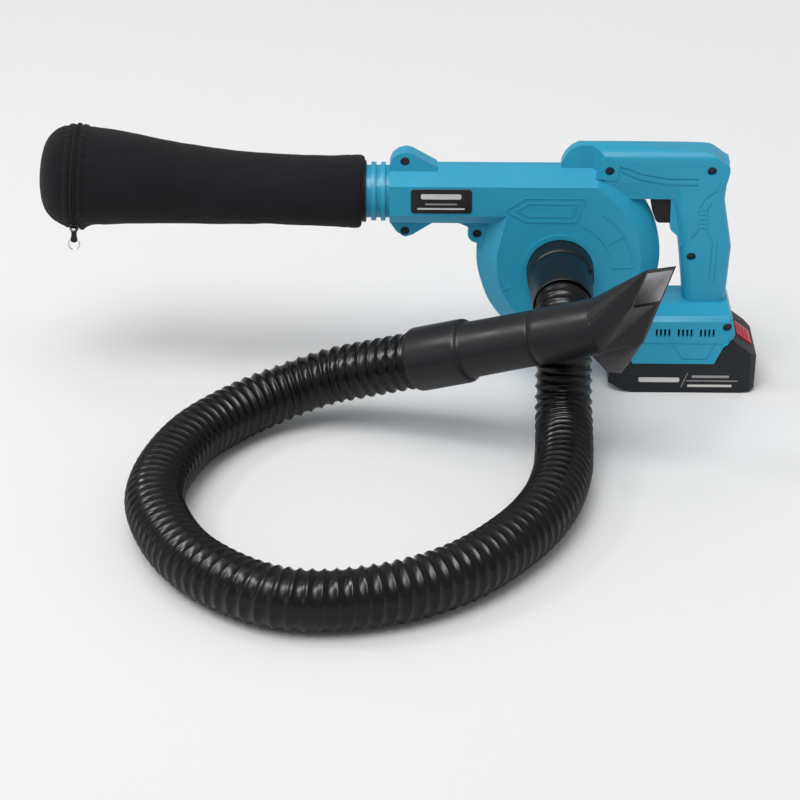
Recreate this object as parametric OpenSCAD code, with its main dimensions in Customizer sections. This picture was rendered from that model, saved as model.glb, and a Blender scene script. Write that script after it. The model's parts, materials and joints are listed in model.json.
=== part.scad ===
// Cordless garden blower and vacuum with a suction hose, a hand nozzle and a dust bag.
// Millimetres. +X runs from the outlet towards the handle, the suction side faces -Y, +Z is up.
// The origin lies on the battery's underside, below the foot of the handle.

/* [Casing] */
// Wall thickness of the two casing halves
wall = 3; // [2.6:0.1:3.2]
// Height of the fan axis above the standing surface
fan_z = 107; // [106:0.5:108]
// Half depth of the volute and the outlet duct
half_depth = 24; // [23.5:0.5:24.5]
// Radius of the scroll at its narrowest
scroll_start = 69; // [68:0.5:70]

/* [Outlet] */
// Outer radius of the outlet spigot
spigot_r = 22.4; // [22:0.1:22.6]
// Radius of the two rings on the spigot
spigot_ring_r = 25; // [24.5:0.1:25.5]
// Bore radius of the outlet spigot
spigot_bore_r = 19.5; // [19:0.1:20]

/* [Suction side] */
// Length of the intake adapter in front of the volute face
adapter_length = 78; // [76:1:80]
// Outer radius of the hose over its ribs
hose_r = 24; // [23.6:0.1:24]
// Wall of the hose
hose_wall = 2.5; // [2:0.5:3]

/* [Dust bag] */
// Thickness of the bag cloth
cloth = 2; // [1.8:0.1:2.4]

/* [Trigger and battery] */
// Travel of the trigger
trigger_travel = 6; // [4:0.5:6]
// Half width of the battery pack
battery_half_width = 37.5; // [37:0.25:38]

/* [Hidden] */
$fn = 64;
fan_x = -112;
face_top_z = 182;
duct_top_z = 194.4;
duct_end_x = -257;
spigot_z = 169;
spigot_tip_x = -300;
handle_half_width = 16;
base_half_width = 38;
screw_r = 1.9;
screw_hole_r = 2.1;
pilot_r = 1.95;
head_r = 3.7;
shaft_r = 2.5;
shaft_bore_r = 2.55;
bag_tilt = 3;
bag_mouth_x = -277;
zip_at = 245;
zip_r = 43.4;
slider_turn = 35;
pin_height = 2.6;
tab_length = 10.2;
adapter_tip_y = -half_depth - adapter_length;
hose_socket = 12;
casing_colour = [0.16, 0.56, 0.69];
black_plastic = [0.05, 0.05, 0.055];
metal_colour = [0.7, 0.71, 0.73];

// screw positions along the casing: x, z, y of the head seat
casing_screw_at = [
    [-244, 199.2, -5], [-244, 136.8, -5], [-182.7, 134.5, -5], [-72, 194.2, -12],
    [13.8, 194.3, -9], [-0.6, 117, -9], [31, 61, -31]
];
motor_screw_angles = [0, 180];
cover_screw_angles = [45, 165, 285];
cover_screw_at = 24.4;
battery_screw_at = [[-56, -30], [-56, 30], [48, -30], [48, 30]];

// hand-chosen points on the centreline of the hose, from the adapter to the cuff
cuff_at = [-232, -128, 70];
cuff_step = [122, -52, 49];
cuff_dir = cuff_step / norm(cuff_step);
hose_route = [
    [fan_x, adapter_tip_y + hose_socket, fan_z], [fan_x, -104, 106.5], [fan_x, -122, 98], [fan_x, -136, 80],
    [fan_x, -145, 60], [fan_x, -159, 40], [fan_x, -181, 28], [-113, -211, 24.5], [-116, -248, 24.5],
    [-127, -298, 24.5], [-150, -350, 24.5], [-190, -405, 24.5], [-240, -441, 24.5], [-300, -456, 24.5],
    [-350, -442, 24.5], [-400, -392, 24.5], [-430, -320, 24.5], [-433, -260, 24.5], [-415, -190, 24.5],
    [-382, -138, 25], [-344, -110, 31], [-306, -104, 43], [-274, -112, 54],
    cuff_at - hose_socket * cuff_dir, cuff_at + hose_socket * cuff_dir
];

// rings of a swept tube: two crossing unit vectors at every point
function unit(v) = v / norm(v);
function tangent(p, i) = unit(p[min(i + 1, len(p) - 1)] - p[max(i - 1, 0)]);
function across(t, up) = unit(cross(t, up));
function ring(p, t, r, n, up) =
    let (a = across(t, up), b = cross(a, t))
    [for (k = [0 : n - 1]) p + r * (cos(360 * k / n) * a + sin(360 * k / n) * b)];
function spline(p, i, s) =
    let (a = p[max(i - 1, 0)], b = p[i], c = p[i + 1], d = p[min(i + 2, len(p) - 1)])
    0.5 * (2 * b + (c - a) * s + (2 * a - 5 * b + 4 * c - d) * s * s + (3 * b - a - 3 * c + d) * s * s * s);
function smooth(p, steps) = concat(
    [for (i = [0 : len(p) - 2]) for (k = [0 : steps - 1]) spline(p, i, k / steps)],
    [p[len(p) - 1]]
);
function helix(centre, r, pitch, turns, n) =
    [for (k = [0 : turns * n]) centre + [pitch * k / n, r * cos(360 * k / n), r * sin(360 * k / n)]];

module rod_sweep(p, r, n, up) {
    m = len(p);
    points = [for (i = [0 : m - 1]) each ring(p[i], tangent(p, i), r, n, up)];
    sides = [for (i = [0 : m - 2]) for (k = [0 : n - 1])
        [i * n + k, i * n + (k + 1) % n, (i + 1) * n + (k + 1) % n, (i + 1) * n + k]];
    start_cap = [for (k = [n - 1 : -1 : 0]) k];
    end_cap = [for (k = [0 : n - 1]) (m - 1) * n + k];
    polyhedron(points, concat(sides, [start_cap], [end_cap]), convexity = 10);
}

module tube_sweep(p, r, inner_r, n, up) {
    m = len(p);
    step = 2 * n;
    points = [for (i = [0 : m - 1]) each concat(
        ring(p[i], tangent(p, i), r, n, up), ring(p[i], tangent(p, i), inner_r, n, up))];
    outside = [for (i = [0 : m - 2]) for (k = [0 : n - 1])
        [i * step + k, i * step + (k + 1) % n, (i + 1) * step + (k + 1) % n, (i + 1) * step + k]];
    inside = [for (i = [0 : m - 2]) for (k = [0 : n - 1])
        [i * step + n + (k + 1) % n, i * step + n + k,
            (i + 1) * step + n + k, (i + 1) * step + n + (k + 1) % n]];
    start_ring = [for (k = [0 : n - 1]) [(k + 1) % n, k, n + k, n + (k + 1) % n]];
    last = (m - 1) * step;
    end_ring = [for (k = [0 : n - 1]) [last + k, last + (k + 1) % n, last + n + (k + 1) % n, last + n + k]];
    polyhedron(points, concat(outside, inside, start_ring, end_ring), convexity = 10);
}

// basic solids along the three directions
module along_x(x0, x1, y, z, r, r2 = undef) {
    translate([x0, y, z]) rotate([0, 90, 0]) cylinder(r1 = r, r2 = is_undef(r2) ? r : r2, h = x1 - x0);
}
module along_y(x, y0, y1, z, r, r2 = undef) {
    translate([x, y0, z]) rotate([-90, 0, 0]) cylinder(r1 = r, r2 = is_undef(r2) ? r : r2, h = y1 - y0);
}
module profile_y(points, y0, y1) {
    translate([0, y1, 0]) rotate([90, 0, 0]) linear_extrude(y1 - y0) polygon(points);
}
module profile_x(points, x0, x1) {
    translate([x0, 0, 0]) rotate([90, 0, 90]) linear_extrude(x1 - x0) polygon(points);
}
module box(x0, x1, y0, y1, z0, z1) {
    translate([x0, y0, z0]) cube([x1 - x0, y1 - y0, z1 - z0]);
}

// scroll outline round the fan axis, widening from the tongue round to the duct
function scroll_r(a) = scroll_start +
    (a < 195 ? 0.12 * (195 - a) : 0.05 * (a - 195) + 0.00028 * pow(a - 195, 2));
function scroll_points(inset, top) = concat(
    [for (a = [165 : 5 : 415]) let (r = scroll_r(a) - inset) [fan_x + r * cos(a), fan_z + r * sin(a)]],
    [[fan_x + 30, top], [fan_x - 40, top]]
);
duct_section = [
    [-half_depth, 156], [-half_depth, face_top_z], [-4, duct_top_z], [4, duct_top_z],
    [half_depth, face_top_z], [half_depth, 156], [17, 147], [-17, 147]
];
duct_inside = [
    [-half_depth + wall, 157], [-half_depth + wall, face_top_z - 2],
    [-3, duct_top_z - 3.5], [3, duct_top_z - 3.5],
    [half_depth - wall, face_top_z - 2], [half_depth - wall, 157], [16, 150], [-16, 150]
];
bar_outline = concat(
    [[-113, 160], [-113, 190]], arc(-90, 191.5, 23, 178, 92),
    [[-60, 213.8], [-13, 211.5], [8, 210.2], [13, 209.2], [17, 207], [27, 199.3], [29, 197], [29, 193],
    [27, 184], [20, 168.5], [-60, 168.5], [-75, 160]]
);
function arc(x, y, r, from, to) =
    [for (k = [0 : 5]) let (a = from + (to - from) * k / 5) [x + r * cos(a), y + r * sin(a)]];
bar_section = concat(
    [[-11, 150], [-handle_half_width, 184]],
    arc(-7, 203, 9, 180, 115), [[-4, 214], [0, 215], [4, 214]], arc(7, 203, 9, 65, 0),
    [[handle_half_width, 184], [11, 150]]
);
bar_plan = [[-114, -6], [-86, -6], [-76, -16], [32, -16], [32, 16], [-76, 16], [-86, 6], [-114, 6]];
base_outline = [
    [-49, 27.3], [21, 27.3], [28.4, 43], [37, 48.8], [38.6, 53.5], [36, 66], [-54, 66], [-56, 48]
];
base_plan = [
    [-60, -30], [-50, -base_half_width], [32, -base_half_width], [39, -31],
    [39, 31], [32, base_half_width], [-50, base_half_width], [-60, 30]
];
module grip_slab(x0, x1, z) {
    for (x = [x0 + 9, x1 - 9]) for (y = [-7, 7]) translate([x, y, z]) cylinder(r = 9, h = 0.5, $fn = 32);
}

boss_outline = concat(
    [[-84, 187], [-81, 197]], arc(-74, 200, 6.5, 155, 75), arc(-71.5, 197.5, 8, 60, -25), [[-66, 186]]
);

module casing_outside() {
    hull() {
        profile_y(scroll_points(0, duct_top_z), -4, 4);
        profile_y(scroll_points(17, face_top_z), -half_depth, half_depth);
    }
    profile_x(duct_section, duct_end_x, fan_x);
    // fillet below the duct at the tongue
    profile_y([[-218, 150], [-214, 146], [-200, 145], [-191, 141], [-185, 133], [-182, 122], [-150, 122],
        [-150, 150]], -10, 10);
    // spigot with two rings
    along_x(spigot_tip_x, duct_end_x + 1, 0, spigot_z, spigot_r);
    along_x(-272.6, -268.6, 0, spigot_z, spigot_ring_r);
    along_x(-264.4, -260.6, 0, spigot_z, spigot_ring_r);
    // screw bosses of the duct and the scroll
    profile_y([[-257, 190], [-257, 196], [-254.5, 202], [-249, 206], [-243, 207.5], [-238, 206.2],
        [-217, 194.4], [-217, 190]], -10, 8);
    profile_y([[-257, 150], [-257, 145], [-251, 136], [-244, 131.6], [-238, 133.4], [-216, 147.5],
        [-216, 150]], -10, 8);
    along_y(-182.7, -10, 10, 134.5, 8);
    profile_y(boss_outline, -17, 17);
    // handle bar
    intersection() {
        profile_y(bar_outline, -handle_half_width, handle_half_width);
        profile_x(bar_section, -114, 32);
        translate([0, 0, 140]) linear_extrude(90) polygon(bar_plan);
    }
    // grip
    hull() {
        grip_slab(-19, 29, 200);
        grip_slab(-19, 26.3, 166);
    }
    hull() {
        grip_slab(-19, 26.3, 166);
        grip_slab(-11, 33.4, 124);
    }
    hull() {
        grip_slab(-11, 33.4, 124);
        grip_slab(-5.2, 30, 70);
    }
    profile_y([[-19.5, 170], [-19.5, 142.5], [-18.2, 139.5], [-15.4, 137.2], [-12.6, 134.4], [-11, 130.5],
        [-10.4, 126], [0, 126], [0, 170]], -13, 13);
    // foot above the battery
    intersection() {
        profile_y(base_outline, -base_half_width, base_half_width);
        translate([0, 0, 20]) linear_extrude(60) polygon(base_plan);
    }
    hull() {
        translate([0, 0, 65.8]) linear_extrude(0.4)
            polygon([for (p = base_plan) [max(min(p[0], 36), -54), p[1]]]);
        box(-53, 33.6, 4 - base_half_width, base_half_width - 4, 69, 70);
    }
    hull() {
        box(-53, 33.6, 4 - base_half_width, base_half_width - 4, 69, 70);
        box(-61, 32, -19, 19, 75, 76);
    }
    // motor housing behind the scroll
    along_y(fan_x, half_depth - 1, 92, fan_z, 31);
}

module casing_inside() {
    // fan chamber in three steps
    profile_y(scroll_points(4, duct_top_z - 4), -8, 8);
    profile_y(scroll_points(11.5, 186), -15, 15);
    profile_y(scroll_points(18, face_top_z - 3), -half_depth + wall, half_depth - wall);
    profile_x(duct_inside, duct_end_x + 6, fan_x);
    along_x(spigot_tip_x - 1, duct_end_x + 7, 0, spigot_z, spigot_bore_r);
    // handle bar, grip and foot
    box(-46, 21, -12, 12, 172, 203);
    box(-15, 23, -10.5, 10.5, 134, 173);
    box(2, 24, -10.5, 10.5, 60, 135);
    box(-44, 23, -33, 33, 38, 62);
    box(22, 30, -31, 31, 50, 62);
    // rail channel of the battery, open towards the rear
    box(-47, 40, -20.4, 20.4, 20, 31);
    box(-47, 40, -24.5, 24.5, 30, 34.6);
    box(-46, -35, -16, 16, 34, 40);
    // trigger opening
    box(-21, -14, -9.4, 9.4, 145, 168.6);
    // motor housing and its bulkhead opening
    along_y(fan_x, half_depth, 93, fan_z, 28);
    along_y(fan_x, half_depth - wall - 1, half_depth + 1, fan_z, 9);
    for (a = motor_screw_angles) along_y(fan_x + 14.5 * cos(a), half_depth - wall - 1, half_depth + 1,
        fan_z + 14.5 * sin(a), screw_hole_r);
}

module screw_posts() {
    for (s = casing_screw_at) {
        depth = s[1] < 70 ? 33 : 12;
        along_y(s[0], -depth, depth, s[1], s[1] < 70 ? 5.5 : 5);
    }
}

// slots of the speed controller's air grille, three groups of four on each side of the foot
module foot_vents() {
    for (side = [-1, 1]) for (group = [0 : 2]) for (k = [0 : 3])
        translate([-29 + 18.8 * group + 3.6 * k, side * (base_half_width - 2.5), 56])
            cube([1.8, 8, 7], center = true);
}

// narrow engraved line through the points of a path, both sides of the casing
module engraved(path, side_y, width, depth) {
    for (side = [-1, 1]) translate([0, side * side_y + depth, 0]) rotate([90, 0, 0]) linear_extrude(2 * depth)
        for (k = [0 : len(path) - 2]) {
            step = path[k + 1] - path[k];
            translate(path[k]) rotate(atan2(step[1], step[0])) translate([-width / 2, -width / 2])
                square([norm(step) + width, width]);
        }
}
module handle_grooves() {
    for (drop = [0, 5.4]) engraved([[-66 + drop, 198 - drop], [-55, 195.4 - drop], [-45, 191.2 - drop],
        [-34, 189.4 - drop], [-21, 187 - drop], [2, 187.2 - drop]], handle_half_width, 1.4, 0.8);
    engraved([[19, 177], [9.5, 170], [4, 160], [4.4, 141], [-1, 134]], handle_half_width, 0.9, 0.5);
    engraved([[15, 166], [11.4, 160], [12, 141], [17, 131], [15, 95]], handle_half_width, 0.9, 0.5);
    engraved([[21, 131], [19.5, 93]], handle_half_width, 0.9, 0.5);
    for (k = [0 : 4]) engraved([[6.2, 143 + 4 * k], [9.6, 143 + 4 * k]], handle_half_width, 0.9, 0.5);
    engraved([[-17, 48], [-6.6, 31.7], [14, 31.7], [22.4, 48]], base_half_width, 0.9, 0.5);
    engraved([[-50, 46], [27, 46]], base_half_width, 0.8, 0.4);
}

module casing_solid() {
    difference() {
        union() {
            difference() {
                casing_outside();
                casing_inside();
            }
            intersection() {
                screw_posts();
                union() {
                    box(-260, -170, -9, 8, 128, 206);
                    box(-76, -68, -14, 14, 190, 203);
                    box(-10, 25, -13, 13, 100, 203);
                    box(20, 36, -34, 34, 50, 66);
                }
            }
        }
        foot_vents();
        handle_grooves();
        // cut back everything the fan chamber needs
        profile_y(scroll_points(4, duct_top_z - 4), -8, 8);
        along_x(spigot_tip_x - 1, duct_end_x + 7, 0, spigot_z, spigot_bore_r);
    }
}

// raised lines on the suction face: rim, arrow and sector panels
module arrow_outline(inset) {
    polygon([[-160 + 1.9 * inset, 161.5], [-143 + 0.5 * inset, 173 - inset], [-91 - 1.4 * inset, 173 - inset],
        [-99.5 - 0.8 * inset, 151 + inset], [-142 + 0.5 * inset, 151 + inset]]);
}
module sector_outline(r0, r1, a0, a1) {
    arc = [for (k = [0 : 6]) a0 + (a1 - a0) * k / 6];
    polygon(concat(
        [for (a = arc) r1 * [cos(a), sin(a)]],
        [for (k = [6 : -1 : 0]) r0 * [cos(arc[k]), sin(arc[k])]]
    ));
}
module face_ribs() {
    raised = 0.7;
    translate([0, -half_depth + 0.1, 0]) rotate([90, 0, 0]) {
        for (inset = [0, 4.8]) linear_extrude(raised + 0.1) difference() {
            arrow_outline(inset);
            arrow_outline(inset + 1);
        }
        translate([fan_x, fan_z]) linear_extrude(raised + 0.1) {
            sector_outline(44, 45.4, 16, 66);
            sector_outline(61.5, 62.8, 4, 30);
            sector_outline(45, 62, 3, 4.6);
            sector_outline(47, 62, 31, 32.4);
            sector_outline(61.5, 62.8, 34, 56);
            sector_outline(52, 53.2, 178, 200);
            sector_outline(44, 52.5, 199, 201);
            sector_outline(50, 51.2, 206, 224);
        }
    }
}

module suction_side_casing() {
    color(casing_colour) difference() {
        union() {
            intersection() {
                casing_solid();
                box(-400, 100, -60, 0, 0, 260);
            }
            face_ribs();
            // collar that takes the intake adapter
            along_y(fan_x, -half_depth - 1.5, -half_depth + 1, fan_z, 33);
        }
        along_y(fan_x, -half_depth - 3, -half_depth + wall + 1, fan_z, 26.2);
        along_y(fan_x, -half_depth - 3, -half_depth, fan_z, 28.7);
        for (s = casing_screw_at) {
            along_y(s[0], -60, s[2], s[1], 4);
            along_y(s[0], -60, 1, s[1], screw_hole_r);
        }
    }
}

module motor_side_casing() {
    color(casing_colour) difference() {
        union() {
            intersection() {
                casing_solid();
                box(-400, 100, 0, 100, 0, 260);
            }
            // posts for the rear cover's screws
            for (a = cover_screw_angles) translate([fan_x, 0, fan_z]) rotate([0, -a, 0]) {
                along_y(cover_screw_at, 78, 87.6, 0, 2.5);
                box(cover_screw_at, 29, 78, 87.6, -2.5, 2.5);
            }
        }
        for (s = casing_screw_at) along_y(s[0], -1, 7.5, s[1], pilot_r);
        for (a = cover_screw_angles)
            along_y(fan_x + cover_screw_at * cos(a), 79, 90, fan_z + cover_screw_at * sin(a), 1.35);
    }
}

module casing_screws() {
    color(metal_colour) for (s = casing_screw_at) {
        along_y(s[0], s[2] - 2.6, s[2], s[1], head_r);
        along_y(s[0], s[2] - 0.1, 7, s[1], screw_r);
    }
}

module label_plate() {
    color(black_plastic) difference() {
        translate([-213, -half_depth, 169.6]) rotate([90, 0, 0]) linear_extrude(0.6) union() {
            square([46, 21.5], center = true);
            square([51.5, 16], center = true);
            for (x = [-23, 23]) for (z = [-8, 8]) translate([x, z]) circle(r = 2.75);
        }
        for (k = [0 : 2]) translate([-213, -half_depth - 0.6, 176 - 6 * k])
            cube([38 - 6 * k, 0.4, 1.6], center = true);
    }
}

module intake_adapter() {
    color(black_plastic) difference() {
        union() {
            along_y(fan_x, -half_depth - 0.5, -half_depth + wall - 0.5, fan_z, 26);
            along_y(fan_x, -half_depth - 24, -half_depth, fan_z, 28.2);
            along_y(fan_x, adapter_tip_y, -half_depth - 23, fan_z, 25.2, 27.4);
        }
        along_y(fan_x, adapter_tip_y - 1, -half_depth + wall + 1, fan_z, 20.5);
        along_y(fan_x, adapter_tip_y - 1, adapter_tip_y + hose_socket, fan_z, 24.1);
    }
}

module hose() {
    color(black_plastic) tube_sweep(smooth(hose_route, 3), hose_r, hose_r - hose_wall, 12, [0, 0, 1]);
}

// frame of the cuff and the nozzle: local +Z along the hose axis, local +X upwards in the fan's plane
module cuff_frame() {
    along = cuff_dir;
    towards = unit([-0.474, -0.832, 0.288] - ([-0.474, -0.832, 0.288] * along) * along);
    upward = cross(towards, along);
    multmatrix([
        [upward[0], towards[0], along[0], cuff_at[0]],
        [upward[1], towards[1], along[1], cuff_at[1]],
        [upward[2], towards[2], along[2], cuff_at[2]],
        [0, 0, 0, 1]
    ]) children();
}

module hose_cuff() {
    color(black_plastic) cuff_frame() difference() {
        union() {
            cylinder(r1 = 25.5, r2 = 26.5, h = 2);
            translate([0, 0, 2]) cylinder(r = 26.5, h = 46);
            translate([0, 0, 48]) cylinder(r1 = 26.5, r2 = 23.4, h = 3);
            translate([0, 0, 50]) cylinder(r1 = 23, r2 = 22.4, h = 64);
            cylinder(r = 20.4, h = 136);
        }
        translate([0, 0, -1]) cylinder(r = 24.1, h = hose_socket + 1);
        translate([0, 0, -1]) cylinder(r = 18, h = 140);
    }
}

// distance of the slanted mouth along the nozzle's axis, at a height above the axis and a depth beside it
function mouth_at(h, d) = 204.4 + 0.72 * h - 0.21 * d;
module mouth_corners(heights, depths) {
    for (h = heights) for (d = depths) translate([h, d, mouth_at(h, d)]) cube(0.5, center = true);
}
// flat wing that carries the far wall of the mouth below the pipe: height, distance along the axis
wing_outline = [
    [-18, 146], [-31, 156], [-37, 160], [-40, 171], [-24, 190], [4.5, 211.6], [10, 215], [10, 170], [-10, 150]
];
module nozzle() {
    color(black_plastic) cuff_frame() difference() {
        union() {
            translate([0, 0, 114.4]) cylinder(r1 = 22.6, r2 = 23, h = 57);
            hull() {
                translate([0, 0, 169]) cylinder(r = 23, h = 1, $fn = 32);
                mouth_corners([10, 35.5], [-19, 19]);
            }
            hull() {
                translate([0, 0, 169]) cylinder(r = 23, h = 1, $fn = 32);
                mouth_corners([-20, 10], [-19, -15.5]);
            }
            translate([0, -16, 0]) rotate([90, 0, 0]) linear_extrude(3) polygon(wing_outline);
        }
        translate([0, 0, 113]) cylinder(r = 20.45, h = 24);
        translate([0, 0, 113]) cylinder(r = 19.5, h = 57);
        hull() {
            translate([0, 0, 168.9]) cylinder(r = 19.5, h = 0.6, $fn = 32);
            translate([0, 0, 2]) mouth_corners([12.5, 33], [-16.5, 16.5]);
        }
        hull() {
            translate([0, 0, 168.9]) cylinder(r = 19.5, h = 0.6, $fn = 32);
            translate([0, 0, -12]) mouth_corners([-15, 12], [-16.5, -15]);
        }
    }
}

// frame of the bag: local +Z along its axis away from the spigot, local +X upwards
module bag_frame() {
    translate([bag_mouth_x, 0, spigot_z - 0.5]) rotate([0, -90 + bag_tilt, 0]) children();
}
bag_profile = [
    [3, 30.2], [10, 31], [57, 29.7], [100, 30.6], [160, 34.2], [195, 37.8], [230, 41.6], [zip_at - 3, 42.8]
];
end_profile = [
    [zip_at + 3, 42.8], [252, 42.5], [258, 41.2], [264, 38], [269.5, 32.4], [274.2, 22.5], [276, 12], [276.4, 0]
];
function inward(p, t) = [for (k = [len(p) - 1 : -1 : 0]) [p[k][0], max(p[k][1] - t, 0)]];
module turned(profile) {
    rotate_extrude() polygon([for (p = profile) [p[1], p[0]]]);
}

module dust_bag() {
    color(black_plastic) bag_frame() turned(concat(bag_profile, inward(bag_profile, cloth)));
}
module bag_end_panel() {
    color(black_plastic) bag_frame() turned(concat(end_profile,
        [[276.4 - cloth, 0], [274, 11.4], [272.4, 21.2], [268, 30.8], [262.8, 36.4], [257, 39.3],
            [zip_at + 3, 40.8]]));
}
module bag_mouth_band() {
    color(black_plastic) translate([bag_mouth_x, 0, spigot_z]) rotate([0, -90, 0]) difference() {
        union() {
            cylinder(r1 = 26.2, r2 = 27, h = 3);
            translate([0, 0, 2.9]) cylinder(r = 27, h = 15);
        }
        translate([0, 0, -1]) cylinder(r = 22.8, h = 20);
    }
}
module zip_tape() {
    color([0.03, 0.03, 0.03]) bag_frame() difference() {
        translate([0, 0, zip_at - 3]) cylinder(r = zip_r, h = 6);
        translate([0, 0, zip_at - 4]) cylinder(r = zip_r - 2.4, h = 8);
    }
}
// the slider sits low on the ring, turned from straight down towards the suction side
module zip_place() {
    bag_frame() rotate([0, 0, 180 + slider_turn]) translate([zip_r, 0, zip_at]) children();
}
module zip_slider() {
    color([0.05, 0.05, 0.05]) zip_place() difference() {
        translate([0.4, -5, -3.6]) cube([3.4, 10, 7.2]);
        translate([1.6, -6, -2.3]) cube([4, 12, 4.6]);
        for (y = [-6, 2]) translate([1.6, y, -4]) cube([4, 4, 8]);
        translate([pin_height, 0, -6]) cylinder(r = 0.65, h = 12, $fn = 24);
    }
}
// frame of the tab, which hangs straight down from the slider's pin
module tab_place() {
    zip_place() translate([pin_height, 0, 0]) rotate([0, 0, -slider_turn]) children();
}
module zip_pull_tab() {
    color([0.04, 0.04, 0.04]) tab_place() difference() {
        union() {
            translate([0, 0, -3.9]) cylinder(r = 0.6, h = 7.8, $fn = 24);
            translate([0, -0.6, -2.1]) cube([9.6, 1.2, 4.2]);
            translate([tab_length, 0, -1]) cylinder(r = 1.5, h = 2, $fn = 24);
        }
        translate([tab_length, 0, -3]) cylinder(r = 0.95, h = 6, $fn = 24);
    }
}
module zip_ring() {
    color(metal_colour) tab_place() translate([tab_length + 3.6, 0, 0]) rotate([90, 0, 0])
        rotate_extrude() translate([3.6, 0]) circle(r = 0.5, $fn = 16);
}

// impeller with straight blades on a back plate
module impeller() {
    color([0.12, 0.12, 0.13]) difference() {
        union() {
            along_y(fan_x, 10, 12.4, fan_z, 54);
            along_y(fan_x, -8, 12.4, fan_z, 9);
            translate([fan_x, 0, fan_z]) rotate([90, 0, 0]) for (k = [0 : 8]) rotate(40 * k) {
                translate([24, -1, -10.2]) cube([29.5, 2, 22]);
                translate([8, -1, -10.2]) cube([17, 2, 8]);
            }
        }
        along_y(fan_x, -20, 20, fan_z, shaft_bore_r);
    }
}
module impeller_nut() {
    color(metal_colour) difference() {
        translate([fan_x, -8.2, fan_z]) rotate([90, 0, 0]) cylinder(r = 4.6, h = 4, $fn = 6);
        along_y(fan_x, -20, 0, fan_z, shaft_bore_r);
    }
}
module rotor_shaft() {
    color(metal_colour) along_y(fan_x, -13.5, 93.5, fan_z, shaft_r);
}
module armature() {
    color([0.45, 0.3, 0.2]) difference() {
        along_y(fan_x, 36, 72, fan_z, 15);
        along_y(fan_x, 30, 80, fan_z, shaft_bore_r);
        for (k = [0 : 4]) translate([fan_x, 54, fan_z]) rotate([0, 72 * k, 0]) translate([14, 0, 0])
            cube([6, 40, 2.4], center = true);
    }
}
module commutator() {
    color([0.72, 0.45, 0.2]) difference() {
        along_y(fan_x, 73, 82, fan_z, 6.5);
        along_y(fan_x, 70, 90, fan_z, shaft_bore_r);
    }
}
module bearing_ring(y0) {
    color(metal_colour) difference() {
        along_y(fan_x, y0, y0 + 5, fan_z, 7);
        along_y(fan_x, y0 - 1, y0 + 6, fan_z, shaft_bore_r);
    }
}
module front_bearing() {
    bearing_ring(24.6);
}
module rear_bearing() {
    bearing_ring(87.4);
}
module motor_can() {
    color([0.6, 0.61, 0.63]) difference() {
        along_y(fan_x, 24, 84, fan_z, 21.5);
        along_y(fan_x, 31, 85, fan_z, 20);
        along_y(fan_x, 24.5, 32, fan_z, 7.05);
        along_y(fan_x, 20, 30, fan_z, 5);
        for (a = motor_screw_angles) along_y(fan_x + 14.5 * cos(a), 23, 29, fan_z + 14.5 * sin(a), pilot_r);
    }
}
module motor_magnets() {
    color([0.2, 0.2, 0.21]) for (s = [0, 180]) translate([fan_x, 74, fan_z]) rotate([90, s, 0])
        linear_extrude(40) intersection() {
            difference() {
                circle(r = 19.8);
                circle(r = 16);
            }
            polygon([[0, 0], [30, -22], [30, 22]]);
        }
}
module motor_end_bell() {
    color([0.1, 0.1, 0.1]) difference() {
        along_y(fan_x, 84.2, 93, fan_z, 21.5);
        along_y(fan_x, 80, 88, fan_z, 11.5);
        along_y(fan_x, 86, 92.4, fan_z, 7.05);
        along_y(fan_x, 86, 95, fan_z, 4);
    }
}
module carbon_brushes() {
    color([0.15, 0.15, 0.16]) for (s = [-1, 1])
        translate([fan_x + s * 11.3, 77.5, fan_z]) cube([9, 6, 5], center = true);
}
module motor_screws() {
    color(metal_colour) for (a = motor_screw_angles) {
        along_y(fan_x + 14.5 * cos(a), half_depth - wall - 2, half_depth - wall, fan_z + 14.5 * sin(a), 3.4);
        along_y(fan_x + 14.5 * cos(a), half_depth - wall - 0.1, 28, fan_z + 14.5 * sin(a), screw_r);
    }
}
module motor_cover() {
    color(casing_colour) difference() {
        union() {
            along_y(fan_x, 92.2, 102, fan_z, 31, 26);
            along_y(fan_x, 88, 93, fan_z, 27.8);
        }
        along_y(fan_x, 87, 99, fan_z, 22.5);
        for (row = [-2 : 2]) translate([fan_x, 100, fan_z + 7 * row])
            cube([36 - 4 * abs(row), 8, 3], center = true);
        for (a = cover_screw_angles)
            along_y(fan_x + cover_screw_at * cos(a), 86, 105, fan_z + cover_screw_at * sin(a), 1.4);
    }
}
module cover_screws() {
    color(metal_colour) for (a = cover_screw_angles) translate([fan_x, 0, fan_z]) rotate([0, -a, 0]) {
        along_y(cover_screw_at, 80, 102.1, 0, 1.3);
        along_y(cover_screw_at, 102, 103.4, 0, 2.2);
    }
}

// hand trigger, its plunger and return spring, and the switch behind them
module trigger() {
    color(black_plastic) difference() {
        union() {
            intersection() {
                box(-36.5, -10, -9, 9, 145.4, 168.2);
                profile_y([[-36.5, 165], [-36, 167], [-34.5, 168.2], [-10, 168.2], [-10, 145.4], [-28.5, 145.4],
                    [-30.2, 146], [-31.4, 147.2], [-32.6, 150], [-34.8, 156]], -9, 9);
            }
            box(-14, -10, -10.2, 10.2, 142, 170.5);
        }
        along_x(-14, -9, 0, 154, 3.05);
    }
}
module switch_plunger() {
    color([0.85, 0.85, 0.85]) along_x(-14, 3, 0, 154, 3);
}
module trigger_spring() {
    color(metal_colour) rod_sweep(helix([-9.3, 0, 154], 4.6, 1.95, 3, 12), 0.45, 6, [1, 0, 0]);
}
module switch_body() {
    color([0.1, 0.1, 0.1]) difference() {
        box(-2, 21, -9, 9, 141, 170);
        along_x(-3, 12, 0, 154, 3.3);
    }
}
module control_board() {
    color([0.1, 0.35, 0.18]) difference() {
        box(-34, 22, -26, 26, 38, 39.6);
        for (x = [-30, 18]) translate([x, -20, 37]) cylinder(r = 1.6, h = 4, $fn = 24);
    }
}
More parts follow.
